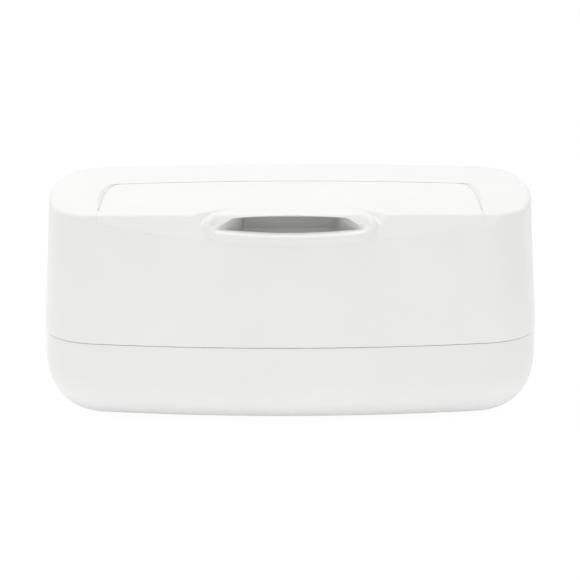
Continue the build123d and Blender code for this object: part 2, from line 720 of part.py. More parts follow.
def hinge_pins():
    """Two short pins, one through each arm and its pair of ears."""
    length = ARM_WIDTH + 2 * (ARM_GAP + EAR)
    return [Pos(x, HINGE_Y, HINGE_Z) * Rot(0, 90, 0) * Cylinder(PIN_R, length) for x in (-ARM_X, ARM_X)]


def clamp_screw_places():
    """Where the insert's clamp ring is screwed up into the deck."""
    off = OPENING_WIDTH / 2 + CLAMP_SCREW_OFF
    sides = [(x, OPENING_Y + side * off) for side in (-1, 1) for x in (-CLAMP_SCREW_X, CLAMP_SCREW_X)]
    ends = [(side * (OPENING_LENGTH / 2 + CLAMP_END_OFF), OPENING_Y) for side in (-1, 1)]
    return sides + ends


def insert_low():
    """Height of the underside of the soft insert."""
    return DECK_Z - DECK_FLOOR - INSERT


def dispensing_insert():
    """Soft sheet under the opening, with a slot and short slits that hold the next wipe."""
    low = insert_low()
    grow = 2 * INSERT_BORDER
    sheet = stadium(OPENING_LENGTH + grow, OPENING_WIDTH + grow, low, low + INSERT)
    sheet -= stadium(SLOT_LENGTH, SLOT_WIDTH, low - 1, low + INSERT + 1)
    half = SLIT_WIDTH / 2
    reach = SLOT_WIDTH / 2 + SLIT_REACH
    for x in SLIT_X:
        low_y = OPENING_Y - reach
        high_y = OPENING_Y + reach
        sheet -= box_between(x - half, x + half, low_y, high_y, low - 1, low + INSERT + 1)
    return sheet


def insert_clamp_ring():
    """Ring that holds the insert's edge against the deck."""
    low = insert_low() - CLAMP
    top = DECK_Z - DECK_FLOOR
    outer = 2 * CLAMP_BORDER
    seat = 2 * INSERT_BORDER + 8 * FIT
    hold = 2 * CLAMP_HOLD
    ring = stadium(OPENING_LENGTH + outer, OPENING_WIDTH + outer, low, top)
    ring -= stadium(OPENING_LENGTH + seat, OPENING_WIDTH + seat, insert_low(), top + 1)
    ring -= stadium(OPENING_LENGTH - hold, OPENING_WIDTH - hold, low - 1, top + 1)
    for x, y in clamp_screw_places():
        ring -= post(x, y, low - 1, top + 1, SCREW_R + SCREW_FIT)
    return ring


def clamp_screws():
    """Screws that hold the clamp ring to the deck."""
    return [screw(x, y, insert_low() - CLAMP, RIM_TOP_Z - 2.5) for x, y in clamp_screw_places()]


def plate_opening(grow, low_z, high_z):
    """Opening through the press plate, for the next wipe."""
    face = Pos(0, 0, low_z) * SlotOverall(PLATE_OPENING_LENGTH + 2 * grow, PLATE_OPENING_WIDTH + 2 * grow)
    return extrude(face, high_z - low_z)


def plate_ring(outer_inset, opening_grow, low_z, high_z):
    """Flat ring with the press plate's outline and opening."""
    blank = extrude(Pos(0, 0, low_z) * outline(PLATE_INSET + outer_inset), high_z - low_z)
    return blank - plate_opening(opening_grow, low_z - 1, high_z + 1)


def press_plate():
    """Moulded tray of the press plate: floor, outer rim and collar round its opening."""
    top = PLATE_Z + PLATE_HEIGHT
    blank = plate_ring(0, 0, PLATE_Z, top)
    return blank - plate_ring(PLATE_SKIN, PLATE_SKIN, PLATE_Z + PLATE_FLOOR, top + 1)


def press_plate_weight():
    """Steel plate sealed inside the press plate."""
    low = PLATE_Z + PLATE_FLOOR
    return plate_ring(PLATE_SKIN + 1.0, PLATE_SKIN + 1.0, low, low + WEIGHT)


def press_plate_cover():
    """Cover over the weight, with two grip ribs and short legs that hold the weight down."""
    top = PLATE_Z + PLATE_HEIGHT
    low = top - PLATE_SKIN
    cover = plate_ring(PLATE_SKIN + 2 * FIT, PLATE_SKIN + 2 * FIT, low, top)
    weight_top = PLATE_Z + PLATE_FLOOR + WEIGHT
    across = GRIP_WIDTH / 2
    length = GRIP_LENGTH / 2
    for x in (-GRIP_X, GRIP_X):
        cover += box_between(x - across, x + across, -length, length, top - 0.5, top + GRIP_HEIGHT)
        for y in (-LEG_Y, LEG_Y):
            cover += post(x, y, weight_top + 0.02, low + 0.5, LEG_R)
    return cover


def write(name, shape):
    """Writes one sub-part; a list of solids becomes one group."""
    if isinstance(shape, list):
        shape = Compound(children=[Solid(s.solids()[0].wrapped) for s in shape])
    export_step(shape, f"parts/{name}.step")


os.makedirs("parts", exist_ok=True)
write("base_tray", base_tray())
write("foot_pads", foot_pads())
write("upper_housing", upper_housing())
write("housing_gasket", housing_gasket())
write("dispensing_deck", dispensing_deck())
write("deck_screws", deck_screws())
write("dispensing_insert", dispensing_insert())
write("insert_clamp_ring", insert_clamp_ring())
write("clamp_screws", clamp_screws())
write("hinge_pins", hinge_pins())
write("lid_shell", lid_shell())
write("lid_liner", lid_liner())
write("lid_liner_screws", lid_liner_screws())
write("lid_seal", lid_seal())
write("press_plate", press_plate())
write("press_plate_weight", press_plate_weight())
write("press_plate_cover", press_plate_cover())
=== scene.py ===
"""Looks of the wipes box: plastic materials, a sculpted lid, soft studio light and the camera."""
import math

import bpy
import numpy as np
from mathutils import Matrix, Vector


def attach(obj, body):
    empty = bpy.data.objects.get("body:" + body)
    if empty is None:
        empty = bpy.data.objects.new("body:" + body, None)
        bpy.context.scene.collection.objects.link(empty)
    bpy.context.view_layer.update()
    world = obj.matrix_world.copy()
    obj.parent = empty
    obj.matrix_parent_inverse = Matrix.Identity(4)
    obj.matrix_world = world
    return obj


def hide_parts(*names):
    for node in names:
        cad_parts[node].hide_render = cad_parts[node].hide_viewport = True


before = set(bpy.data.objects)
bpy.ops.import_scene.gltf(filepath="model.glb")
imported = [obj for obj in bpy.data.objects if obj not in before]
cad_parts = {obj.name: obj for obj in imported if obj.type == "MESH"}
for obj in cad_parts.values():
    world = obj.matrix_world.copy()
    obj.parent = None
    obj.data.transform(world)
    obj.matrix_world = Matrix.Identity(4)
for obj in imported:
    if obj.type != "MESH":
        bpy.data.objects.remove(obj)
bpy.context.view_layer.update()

MM = 0.001

# Camera: eye, lens and sensor in millimetres, angles in degrees, far limit in metres
CAMERA_EYE = (-0.35, -1125.8, 319.2)
CAMERA_PITCH = 13.474
CAMERA_YAW = -0.013
CAMERA_ROLL = -0.128
CAMERA_LENS = 149.4
CAMERA_SENSOR = 36.0
CAMERA_FAR = 20.0

# Pale plastics, as sRGB
SHELL_WHITE = (236, 236, 234)
INNER_WHITE = (231, 231, 229)
SEAL_GREY = (214, 217, 218)
PAD_GREY = (176, 179, 181)
STEEL_GREY = (205, 205, 207)
COATING_GREY = (158, 160, 163)

# Moulded plastic: its grain's depth and size in millimetres, and its clouds' scale and strength
GRAIN_DEPTH = 0.004
GRAIN_SIZE = 0.5
CLOUD_SCALE = 28.0
CLOUD_TINT = 0.012
CLOUD_GLOSS = 0.04

# Silicone: scale and gloss of its dusting, and the scale and depth of its skin
DUST_SCALE = 160.0
DUST_GLOSS = 0.06
SKIN_SCALE = 2500.0
SKIN_DEPTH = 0.01

# Steel: scale of its drawing lines along each axis, and their depth in millimetres
LINE_SCALE = (3000.0, 3000.0, 260.0)
LINE_DEPTH = 0.004

# Powder coating: scale and depth of its pits, and the scale of its uneven colour
PIT_SCALE = 900.0
PIT_DEPTH = 0.03
DRIFT_SCALE = 45.0


def shaded(colour, factor=1.0):
    """Linear colour with alpha from one in sRGB 0 to 255, made darker or lighter by a factor."""
    out = []
    for value in colour:
        c = value / 255
        out.append(c / 12.92 if c <= 0.04045 else ((c + 0.055) / 1.055) ** 2.4)
    return (*(min(1, c * factor) for c in out), 1.0)


class Nodes:
    """Short way to build a material's node tree."""

    def __init__(self, name):
        self.material = bpy.data.materials.new(name)
        self.material.use_nodes = True
        self.tree = self.material.node_tree
        self.shader = self.tree.nodes["Principled BSDF"]

    def add(self, kind, **settings):
        """New node; each setting goes to the input of that name, or else to the node's property."""
        node = self.tree.nodes.new(kind)
        for key, value in settings.items():
            if key in node.inputs.keys():
                node.inputs[key].default_value = value
            else:
                setattr(node, key, value)
        return node

    def link(self, source, target):
        self.tree.links.new(source, target)

    def place(self):
        """Coordinates that stay with the piece, in metres."""
        return self.add("ShaderNodeTexCoord").outputs["Object"]

    def noise(self, place, **settings):
        node = self.add("ShaderNodeTexNoise", **settings)
        self.link(place, node.inputs["Vector"])
        return node.outputs["Fac"]

    def tones(self, source, dark, light, start=0.0, end=1.0):
        """Base colour that goes from dark to light with the source."""
        ramp = self.add("ShaderNodeValToRGB")
        for i, (at, colour) in enumerate(((start, dark), (end, light))):
            ramp.color_ramp.elements[i].position = at
            ramp.color_ramp.elements[i].color = colour
        self.link(source, ramp.inputs["Fac"])
        self.link(ramp.outputs["Color"], self.shader.inputs["Base Color"])

    def gloss(self, source, low, high):
        """Roughness that goes from low to high with the source."""
        level = self.add("ShaderNodeMapRange", **{"To Min": low, "To Max": high})
        self.link(source, level.inputs["Value"])
        self.link(level.outputs["Result"], self.shader.inputs["Roughness"])

    def relief(self, source, strength, depth):
        """Bump with a depth in millimetres."""
        bump = self.add("ShaderNodeBump", Strength=strength, Distance=depth * MM)
        self.link(source, bump.inputs["Height"])
        self.link(bump.outputs["Normal"], self.shader.inputs["Normal"])

    def finish(self, **settings):
        """Sets the shader's even values and gives back the material."""
        for key, value in settings.items():
            self.shader.inputs[key].default_value = value
        return self.material


def moulded_plastic(name, colour, roughness):
    """Moulded plastic: fine spark-eroded grain, faint flow clouds in colour and gloss, a satin sheen."""
    n = Nodes(name)
    place = n.place()
    clouds = n.noise(place, Scale=CLOUD_SCALE, Detail=3.0, Roughness=0.55)
    n.tones(clouds, shaded(colour, 1 - CLOUD_TINT), shaded(colour, 1 + CLOUD_TINT), 0.3, 0.7)
    n.gloss(clouds, roughness - CLOUD_GLOSS, roughness + CLOUD_GLOSS)
    grain = n.noise(place, Scale=1 / (GRAIN_SIZE * MM), Detail=2.0, Roughness=0.6)
    n.relief(grain, 1.0, GRAIN_DEPTH)
    return n.finish(**{"IOR": 1.49, "Specular IOR Level": 0.42})


def silicone(name, colour, roughness):
    """Soft silicone: even colour with a faint dusting, a dry surface and a fine skin."""
    n = Nodes(name)
    place = n.place()
    dust = n.noise(place, Scale=DUST_SCALE, Detail=4.0, Roughness=0.65)
    n.tones(dust, shaded(colour, 0.96), shaded(colour, 1.05), 0.35, 0.75)
    n.gloss(dust, roughness - DUST_GLOSS, roughness + DUST_GLOSS)
    n.relief(n.noise(place, Scale=SKIN_SCALE, Detail=2.0), 0.8, SKIN_DEPTH)
    return n.finish(**{"IOR": 1.41, "Specular IOR Level": 0.35})


def drawn_steel(name, colour):
    """Plain steel of screws and pins: fine drawing lines in colour, gloss and relief."""
    n = Nodes(name)
    stretch = n.add("ShaderNodeMapping", Scale=LINE_SCALE)
    n.link(n.place(), stretch.inputs["Vector"])
    lines = n.noise(stretch.outputs["Vector"], Scale=1.0, Detail=3.0, Roughness=0.6)
    n.tones(lines, shaded(colour, 0.86), shaded(colour))
    n.gloss(lines, 0.22, 0.42)
    n.relief(lines, 0.5, LINE_DEPTH)
    return n.finish(Metallic=1.0)


def powder_coat(name, colour):
    """Powder coating on the steel weight: small rounded pits and slightly uneven gloss."""
    n = Nodes(name)
    place = n.place()
    pits = n.add("ShaderNodeTexVoronoi", feature="SMOOTH_F1", Scale=PIT_SCALE)
    n.link(place, pits.inputs["Vector"])
    drift = n.noise(place, Scale=DRIFT_SCALE, Detail=3.0)
    n.tones(drift, shaded(colour, 0.93), shaded(colour, 1.06))
    n.gloss(drift, 0.4, 0.55)
    n.relief(pits.outputs["Distance"], 0.6, PIT_DEPTH)
    return n.finish()


def put(material, *names):
    """Gives the material to the named CAD nodes."""
    for name in names:
        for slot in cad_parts[name].material_slots:
            slot.material = material


SATIN_PLASTIC = moulded_plastic("shell_plastic_satin", SHELL_WHITE, roughness=0.42)
MATTE_PLASTIC = moulded_plastic("inner_plastic_matte", INNER_WHITE, roughness=0.5)
SEAL_SILICONE = silicone("soft_seal_silicone", SEAL_GREY, roughness=0.55)
FOOT_SILICONE = silicone("soft_pad_silicone", PAD_GREY, roughness=0.62)
SCREW_STEEL = drawn_steel("screw_steel", STEEL_GREY)
WEIGHT_COATING = powder_coat("weight_coating", COATING_GREY)
put(SATIN_PLASTIC, "base_tray", "upper_housing", "lid_shell")
put(MATTE_PLASTIC, "dispensing_deck", "insert_clamp_ring", "lid_liner")
put(MATTE_PLASTIC, "press_plate", "press_plate_cover")
put(SEAL_SILICONE, "dispensing_insert", "housing_gasket", "lid_seal")
put(FOOT_SILICONE, "foot_pads")
put(SCREW_STEEL, "deck_screws", "clamp_screws", "lid_liner_screws", "hinge_pins")
put(WEIGHT_COATING, "press_plate_weight")


# Lid, in millimetres, with the sizes of the part's source
LID_TOP_Z = 99.6
FACET_Y = -61.0
FACET_LEAN = math.radians(23.0)
TOP_EDGE_R = 2.2
LID_HALF = 87.3
LID_SIDE_R = 186.0
LID_SIDE_Y = -26.0
LID_REAR_R = 480.0
LID_REAR_Y = 16.9
LID_CORNER_R = 5.5
SMILE_Z = 86.3
SMILE_R = 425.0
LID_WALL = 2.2
LID_SKIRT = 2.0
LID_BEVEL = 1.25
SKIRT_Z = 90.5
SKIRT_END_Y = 0.0
APRON_Y = -49.0
BOSSES = ((72.0, -38.0), (72.0, -2.0), (9.0, 11.2))
BOSS_R = 3.2
BOSS_HOLE_R = 1.4
BOSS_LOW_Z = 90.0
BOSS_SINK = 1.5
BOSS_HOLE_Z = 96.4

# Cosine between the lid's side and rear, and the least wall under the scoops
CORNER_COS = 0.34
LEAST_WALL = 1.4

# How far the lid's front edges come nearer to the housing than in the source, and the edges' rounding
FRONT_REACH = 0.19
FRONT_EDGE_R = 0.12
SIDE_EDGE_R = 0.65
REAR_EDGE_R = 0.8
INNER_EDGE_R = 0.6

# Where the front's, the rear's and the bevel's values set in, from nothing to full
FRONT_IN_Y = (-50.0, -58.0)
REAR_IN_Y = (4.0, 12.0)
REAR_IN_X = (84.0, 74.0)
BEVEL_IN_Y = (-12.0, -8.0)

# Finger pocket: two rods along X as (half length, y, z, radius), and ends that slope forward
POCKET_FRONT = (29.5, -54.5, 91.9, 5.6)
POCKET_REAR = (21.0, -48.4, 93.8, 3.4)
POCKET_DEEP_HALF = 21.2
POCKET_DEEP_Y = -52.0
POCKET_END_BLEND = 4.0
POCKET_WALL = 1.7
POCKET_SKIN = 0.5
POCKET_BLEND = 1.2
POCKET_EDGE_BLEND = 0.8

# Finger mouth in the front view, with its arcs' rise and sag and its corners, and the lip over it
MOUTH_LOW_Z = 92.7
MOUTH_LOW_SAG = 2.0
MOUTH_LOW_HALF = 34.0
MOUTH_HIGH_Z = 97.5
MOUTH_HIGH_RISE = 1.0
MOUTH_HIGH_HALF = 25.7
MOUTH_POINT_R = 0.5
MOUTH_POINT_COS = -0.5
MOUTH_CORNER_R = 1.2
MOUTH_CORNER_COS = 0.8
LIP_EDGE_Z = 98.6
LIP_ROOT_Z = 97.2
LIP_DEPTH = 7.0

# Width of the round along the mouth's edge: below, above, and the heights between which it changes
EDGE_BLEND_LOW = 1.3
EDGE_BLEND_HIGH = 0.5
EDGE_BLEND_Z = (92.5, 96.5)

# Bead round the mouth, right half: a low arc and corner points on the facet, as (across, down from its
# top edge), and then points in space over the top
BEAD_R = 2.4
BEAD_SINK = 0.9
BEAD_LOW = 11.5
BEAD_LOW_SAG = 0.0017
BEAD_LOW_END = 29.0
BEAD_LOW_POINTS = 5
BEAD_CORNER = ((34.0, 9.2), (36.7, 7.0), (36.6, 4.0))
BEAD_TOP = (
    (34.6, -59.6, 96.9),
    (31.8, -56.8, 97.0),
    (28.8, -53.0, 96.8),
    (26.2, -48.6, 96.3),
    (24.4, -44.6, 95.8),
)
BEAD_STEPS = 4
BEAD_BLEND = 1.2

# Pad under the mouth that brings the bead's lower side flush with the wall: its front with its bow in
# plan, its top edge with its bow, its half width, and the rounds of its edge and end
PAD_Y = -66.75
PAD_BOW_R = 1300.0
PAD_TOP_Z = 90.6
PAD_TOP_R = 300.0
PAD_HALF = 35.5
PAD_R = 2.3
PAD_END_R = 4.0
PAD_BLEND = 1.0

# Scoop between the lid's top and the bead: a sloping plane in front of a slanted line in plan, given by
# two points (x, y)
SCOOP_FRONT = (44.0, -61.0)
SCOOP_REAR = (28.3, -49.6)
SCOOP_SLOPE = math.radians(56.0)
SCOOP_DEPTH = 4.4
SCOOP_BLEND = 0.5

# Bead, pad and scoops lie within this distance from the middle, in front of this depth
MOUTH_ZONE_X = 48
MOUTH_ZONE_Y = -34

# Grid on which the lid's surface is found: parts of (start, end, step), X in the right half only
FINE = 0.42
GRID_X = [(FINE / 2, 46, FINE), (46, 67, 1.5), (67, 77, 0.6), (77, 82, 1.2), (82, 88.3, FINE)]
GRID_Y = [(-69.03, -33.5, FINE), (-33.5, -6.5, 1.4), (-6.5, 2.5, 0.6), (2.5, 7, 1.1), (7, 18.3, FINE)]
GRID_Z = [(84.03, 100.83, FINE)]

# Points taken at a time, steps to each crossing, distance for slopes, and the pull to a cell's middle
FIELD_BATCH = 200000
CROSSING_STEPS = 3
SLOPE_STEP = 0.01
MIDDLE_PULL = 0.03

# Edges that bend more than this are shaded sharp
SHARP_ANGLE = math.radians(38)


def rounded_meet(a, b, r, c=0.0):
    """Intersection of two fields with a round of radius r; c is the cosine between their normals."""
    u = a + r
    v = b + r
    corner = np.sqrt(np.maximum(u * u + v * v - 2 * c * u * v, 0) / (1 - c * c)) - r
    return np.where((u - c * v > 0) & (v - c * u > 0), corner, np.maximum(a, b))


def soft_join(a, b, k):
    """Union of two fields with a blend of width k."""
    h = np.maximum(k - np.abs(a - b), 0) / k
    return np.minimum(a, b) - h * h * k / 4


def soft_cut(a, b, k):
    """Field a without field b, with a blend of width k."""
    return -soft_join(-a, b, k)


def eased(value, start, end):
    """Goes smoothly from 0 at start to 1 at end."""
    t = np.clip((value - start) / (end - start), 0, 1)
    return t * t * (3 - 2 * t)


def catmull(points, steps):
    """Smooth line through the points."""
    pts = np.array(points, float)
    pts = np.vstack([2 * pts[0] - pts[1], pts, 2 * pts[-1] - pts[-2]])
    out = []
    for i in range(1, len(pts) - 2):
        a, b, c, d = pts[i - 1 : i + 3]
        for s in range(steps):
            t = s / steps
            square = (2 * a - 5 * b + 4 * c - d) * t**2
            cube = (3 * b - a - 3 * c + d) * t**3
            out.append(0.5 * (2 * b + (c - a) * t + square + cube))
    out.append(pts[-2])
    return np.array(out)


def bead_line():
    """Right-hand half of the bead's middle line, from the middle of the mouth to its sunk rear end."""
    sin, cos = math.sin(FACET_LEAN), math.cos(FACET_LEAN)
    flat = [(u, BEAD_LOW - BEAD_LOW_SAG * u * u) for u in np.linspace(0, BEAD_LOW_END, BEAD_LOW_POINTS)]
    flat += list(BEAD_CORNER)
    line = []
    for u, down in flat:
        y = FACET_Y - down * sin + BEAD_SINK * cos
        z = LID_TOP_Z - down * cos - BEAD_SINK * sin
        line.append((u, y, z))
    return catmull(line + list(BEAD_TOP), BEAD_STEPS)


BEAD = bead_line()


def line_distance(p, line):
    """Distance of the points to an open line of short pieces."""
    best = np.full(len(p), 1e9)
    for a, b in zip(line[:-1], line[1:]):
        run = b - a
        t = np.clip((p - a) @ run / (run @ run), 0, 1)
        gap = p - a - t[:, None] * run
        best = np.minimum(best, (gap * gap).sum(1))
    return np.sqrt(best)


def scoop_field(p):
    """Space of the scoop on the right, outside the line on which the bead runs back."""
    x, y, z = p.T
    run = np.array(SCOOP_REAR) - SCOOP_FRONT
    run /= np.linalg.norm(run)
    ahead = (y - SCOOP_FRONT[1]) * run[0] - (x - SCOOP_FRONT[0]) * run[1]
    plane = math.sin(SCOOP_SLOPE) * ahead + math.cos(SCOOP_SLOPE) * (z - LID_TOP_Z)
    start, end = np.array(BEAD_TOP[0][:2]), np.array(BEAD_TOP[3][:2])
    along = (end - start) / np.linalg.norm(end - start)
    inner = (y - start[1]) * along[0] - (x - start[0]) * along[1]
    return np.maximum(np.maximum(-plane, inner), LID_TOP_Z - SCOOP_DEPTH - z)


def pad_field(p):
    """Pad that bows with the wall under the mouth."""
    x, y, z = p.T
    front = PAD_Y + x * x / (2 * PAD_BOW_R) - y
    face = rounded_meet(front, z - PAD_TOP_Z - x * x / (2 * PAD_TOP_R), PAD_R)
    return rounded_meet(face, x - PAD_HALF, PAD_END_R)


def pocket_field(x, y, z):
    """Hull of the pocket's two rods, with round ends."""
    half0, y0, z0, r0 = POCKET_FRONT
    half1, y1, z1, r1 = POCKET_REAR
    run = math.hypot(y1 - y0, z1 - z0)
    lean = (r0 - r1) / math.sqrt(run * run - (r0 - r1) ** 2)
    along = ((y - y0) * (y1 - y0) + (z - z0) * (z1 - z0)) / run
    across = np.abs((z - z0) * (y1 - y0) - (y - y0) * (z1 - z0)) / run
    t = np.clip((along + across * lean) / run, 0, 1)
    out = np.maximum(x - (half0 + (half1 - half0) * t), 0)
    gap_y = y - (y0 + (y1 - y0) * t)
    gap_z = z - (z0 + (z1 - z0) * t)
    return np.sqrt(out**2 + gap_y**2 + gap_z**2) - (r0 + (r1 - r0) * t)


def mouth_field(x, y, z):
    """Slot from the front into the pocket, under the lip."""
    low_r = (MOUTH_LOW_HALF**2 + MOUTH_LOW_SAG**2) / (2 * MOUTH_LOW_SAG)
    low = np.hypot(x, z - (MOUTH_LOW_Z - MOUTH_LOW_SAG + low_r)) - low_r
    high_r = (MOUTH_HIGH_HALF**2 + MOUTH_HIGH_RISE**2) / (2 * MOUTH_HIGH_RISE)
    high = np.hypot(x, z - (MOUTH_HIGH_Z + MOUTH_HIGH_RISE - high_r)) - high_r
    rise = MOUTH_HIGH_Z - MOUTH_LOW_Z
    run = MOUTH_LOW_HALF - MOUTH_HIGH_HALF
    side = ((x - MOUTH_LOW_HALF) * rise + (z - MOUTH_LOW_Z) * run) / math.hypot(rise, run)
    view = rounded_meet(low, side, MOUTH_POINT_R, MOUTH_POINT_COS)
    view = rounded_meet(view, high, MOUTH_CORNER_R, MOUTH_CORNER_COS)
    back_y = POCKET_FRONT[1]
    slope = (LIP_EDGE_Z - LIP_ROOT_Z) / LIP_DEPTH
    lip = z - LIP_ROOT_Z - slope * (back_y - y)
    return np.maximum(np.maximum(view, y - back_y), lip)


def cavity_field(x, y, z):
    """Pocket and mouth together, kept within the sloping ends."""
    room = soft_join(pocket_field(x, y, z), mouth_field(x, y, z), POCKET_BLEND)
    straight = x - POCKET_DEEP_HALF
    sloping = (straight + y - POCKET_DEEP_Y) / math.sqrt(2)
    return soft_cut(room, -soft_join(straight, sloping, POCKET_END_BLEND), POCKET_EDGE_BLEND)


def lid_plan(x, y):
    """Plan of the lid, open towards the front."""
    arc = np.hypot(x - LID_HALF + LID_SIDE_R, y - LID_SIDE_Y) - LID_SIDE_R
    side = np.where(y > LID_SIDE_Y, arc, x - LID_HALF)
    rear = np.hypot(x, y - LID_REAR_Y + LID_REAR_R) - LID_REAR_R
    return rounded_meet(side, rear, LID_CORNER_R, CORNER_COS)


def round_mouth(body, x, y, z):
    """The body with the scoop cut into it and the bead and the pad joined to it."""
    p = np.column_stack([x, y, z])
    shaped = soft_cut(body, scoop_field(p), SCOOP_BLEND)
    shaped = soft_join(shaped, line_distance(p, BEAD) - BEAD_R, BEAD_BLEND)
    return soft_join(shaped, pad_field(p), PAD_BLEND)


def with_bosses(shell, x, y, z):
    """The shell with its screw bosses and their holes."""
    for bx, by in BOSSES:
        around = np.hypot(x - bx, y - by)
        post = np.maximum(np.maximum(around - BOSS_R, BOSS_LOW_Z - z), z - LID_TOP_Z + BOSS_SINK)
        shell = np.minimum(shell, post)
        shell = np.maximum(shell, -np.maximum(around - BOSS_HOLE_R, z - BOSS_HOLE_Z))
    return shell


def lid_field(p):
    """Signed field of the lid: below zero inside, in millimetres near the surface."""
    x = np.abs(p[:, 0])
    y = p[:, 1]
    z = p[:, 2]
    sin, cos = math.sin(FACET_LEAN), math.cos(FACET_LEAN)
    top = z - LID_TOP_Z
    facet = sin * top - cos * (y - FACET_Y)
    skin = rounded_meet(top, facet, TOP_EDGE_R, sin)
    front = eased(y, *FRONT_IN_Y)
    behind = eased(y, *REAR_IN_Y) * eased(x, *REAR_IN_X)
    plan = lid_plan(x, y) - FRONT_REACH * front
    edge_r = SIDE_EDGE_R + (FRONT_EDGE_R - SIDE_EDGE_R) * front + (REAR_EDGE_R - SIDE_EDGE_R) * behind
    body = rounded_meet(skin, plan, edge_r)
    slope = LID_BEVEL / LID_WALL * eased(y, *BEVEL_IN_Y)
    body = np.maximum(body, (plan - top * slope) / np.sqrt(1 + slope * slope))

    close = (x < MOUTH_ZONE_X) & (y < MOUTH_ZONE_Y)
    body[close] = round_mouth(body[close], x[close], y[close], z[close])
    hollow = plan + LID_SKIRT
    hollow[close] = np.maximum(hollow[close], body[close] + LEAST_WALL)
    drum = np.hypot(x, z - SMILE_Z - SMILE_R) - SMILE_R - FRONT_REACH
    body = rounded_meet(body, drum, FRONT_EDGE_R)

    inner_skin = rounded_meet(top + LID_WALL, facet + LID_WALL, INNER_EDGE_R, sin)
    shell = np.maximum(body, -np.maximum(inner_skin, hollow))
    shell = np.maximum(shell, np.minimum(y - SKIRT_END_Y, LID_TOP_Z - LID_WALL - z))
    shell = np.maximum(shell, np.minimum(y - APRON_Y, SKIRT_Z - z))
    cavity = cavity_field(x, y, z)
    inside = np.maximum(skin, drum) + POCKET_SKIN
    shell = np.minimum(shell, np.maximum(cavity - POCKET_WALL, inside))
    shell = with_bosses(shell, x, y, z)
    blend = EDGE_BLEND_LOW + (EDGE_BLEND_HIGH - EDGE_BLEND_LOW) * eased(z, *EDGE_BLEND_Z)
    return soft_cut(shell, cavity, blend)


def spaced(parts):
    """Grid coordinates from parts of (start, end, step)."""
    out = []
    for start, end, step in parts:
        count = max(1, round((end - start) / step))
        out.append(np.linspace(start, end, count, endpoint=False))
    out.append(np.array([parts[-1][1]]))
    return np.concatenate(out)


def field_on(points):
    """The lid's field at many points, taken in batches to save memory."""
    out = np.empty(len(points))
    for i in range(0, len(points), FIELD_BATCH):
        out[i : i + FIELD_BATCH] = lid_field(points[i : i + FIELD_BATCH])
    return out


def zero_points(start, end, f_low, f_high):
    """Where the field is zero between start and end, by false position."""
    t_low, t_high = np.zeros(len(start)), np.ones(len(start))
    t = f_low / (f_low - f_high)
    for _ in range(CROSSING_STEPS):
        f = field_on(start + t[:, None] * (end - start))
        below = (f < 0) == (f_low < 0)
        t_low, t_high = np.where(below, t, t_low), np.where(below, t_high, t)
        f_low, f_high = np.where(below, f, f_low), np.where(below, f_high, f)
        t = t_low + (t_high - t_low) * f_low / (f_low - f_high)
    return start + t[:, None] * (end - start)


def crossings(value, axes, axis, strides):
    """Grid edges along one axis that cross the surface: points, the cells round each, and its turn."""
    low = np.take(value, range(0, value.shape[axis] - 1), axis)
    high = np.take(value, range(1, value.shape[axis]), axis)
    index = np.argwhere((low < 0) != (high < 0))
    others = [a for a in range(3) if a != axis]
    keep = np.ones(len(index), bool)
    for a in others:
        keep &= (index[:, a] > 0) & (index[:, a] < value.shape[a] - 1)
    index = index[keep]
    f_low = low[tuple(index.T)]
    f_high = high[tuple(index.T)]
    start = np.column_stack([axes[a][index[:, a]] for a in range(3)])
    end = start.copy()
    end[:, axis] = axes[axis][index[:, axis] + 1]
    ring = []
    for da, db in ((0, 0), (1, 0), (1, 1), (0, 1)):
        cell = index.copy()
        cell[:, others[0]] -= da
        cell[:, others[1]] -= db
        ring.append(cell @ strides)
    flip = (f_low < 0) ^ (axis == 1)
    return zero_points(start, end, f_low, f_high), np.column_stack(ring), flip


def cell_points(spots, owner, count):
    """One point for each cell, on the tangent planes of its crossings as nearly as it can be."""
    slope = np.column_stack([
        field_on(spots + SLOPE_STEP * axis) - field_on(spots - SLOPE_STEP * axis) for axis in np.eye(3)
    ])
    normal = slope / np.maximum(np.linalg.norm(slope, axis=1, keepdims=True), 1e-9)
    cells = len(count)
    four = np.repeat(np.arange(len(spots)), 4)
    sums = [np.bincount(owner, spots[four, a], cells) for a in range(3)]
    mean = np.column_stack(sums) / count[:, None]
    n = normal[four]
    off = ((spots[four] - mean[owner]) * n).sum(1)
    right = np.column_stack([np.bincount(owner, n[:, a] * off, cells) for a in range(3)])
    left = np.zeros((cells, 3, 3))
    for a in range(3):
        for b in range(3):
            left[:, a, b] = np.bincount(owner, n[:, a] * n[:, b], cells)
    left += np.eye(3) * (MIDDLE_PULL * count[:, None, None])
    return mean + np.linalg.solve(left, right[:, :, None])[:, :, 0]


def lid_mesh():
    """Points and four-sided faces of the lid's surface, with its edges kept crisp."""
    half, ys, zs = spaced(GRID_X), spaced(GRID_Y), spaced(GRID_Z)
    grid = np.stack(np.meshgrid(half, ys, zs, indexing="ij"), -1).reshape(-1, 3)
    value = field_on(grid).reshape(len(half), len(ys), len(zs))
    value = np.concatenate([value[::-1], value])
    axes = (np.concatenate([-half[::-1], half]), ys, zs)
    cells = np.array(value.shape) - 1
    strides = np.array([cells[1] * cells[2], cells[2], 1])
    found = [crossings(value, axes, axis, strides) for axis in range(3)]
    spots, rings, flips = (np.concatenate(part) for part in zip(*found))
    used, place = np.unique(rings, return_inverse=True)
    place = place.reshape(rings.shape)
    owner = place.ravel()
    verts = cell_points(spots, owner, np.bincount(owner, minlength=len(used)))
    ix, rest = np.divmod(used, strides[0])
    iy, iz = np.divmod(rest, strides[1])
    for a, i in enumerate((ix, iy, iz)):
        verts[:, a] = np.clip(verts[:, a], axes[a][i], axes[a][i + 1])
    faces = np.where(flips[:, None], place, place[:, ::-1])
    return verts, faces


